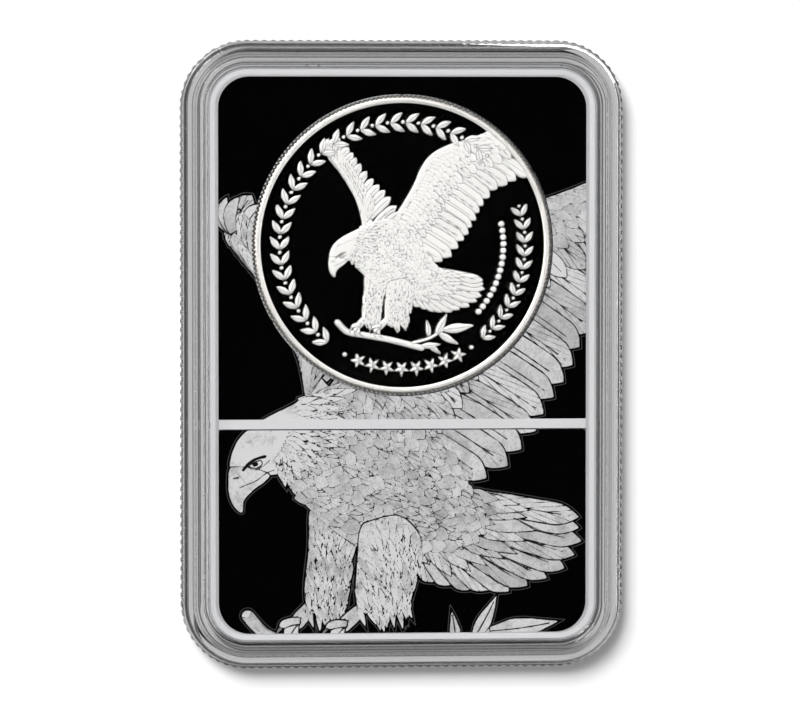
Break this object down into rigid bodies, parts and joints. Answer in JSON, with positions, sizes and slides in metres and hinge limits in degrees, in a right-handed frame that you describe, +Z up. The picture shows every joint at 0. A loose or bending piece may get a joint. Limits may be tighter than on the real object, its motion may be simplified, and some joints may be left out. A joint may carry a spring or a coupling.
{
  "type": "graded coin slab",
  "caption": "Clear welded plastic holder with a round coin in a printed insert and a label window below, standing upright on its lower edge.",
  "frame": {"origin": "at the foot, under the middle of the slab, on the parting plane of the two shells", "axes": "+Z up the slab's long side, +X across its width, -Y out of the display side and +Y out of the back"},
  "size_m": [0.06, 0.008, 0.085],
  "materials": {
    "clear_plastic": "clear moulded, polished",
    "melted_plastic": "clear, slightly milky",
    "black_insert": "matt black moulded",
    "printed_film": "black film printed in light grey",
    "proof_silver": "mirror field with frosted relief",
    "label_card": "coated label stock",
    "hologram_foil": "embossed diffraction foil"
  },
  "bodies": {
    "root": {"front_shell": "clear_plastic", "rear_shell": "clear_plastic", "weld_bead": "melted_plastic", "coin_core": "black_insert", "core_art_front": "printed_film", "core_art_rear": "printed_film", "coin": "proof_silver", "label_core": "black_insert", "label_art_front": "printed_film", "label_card_rear": "label_card", "hologram_seal": "hologram_foil"}
  },
  "joints": []
}
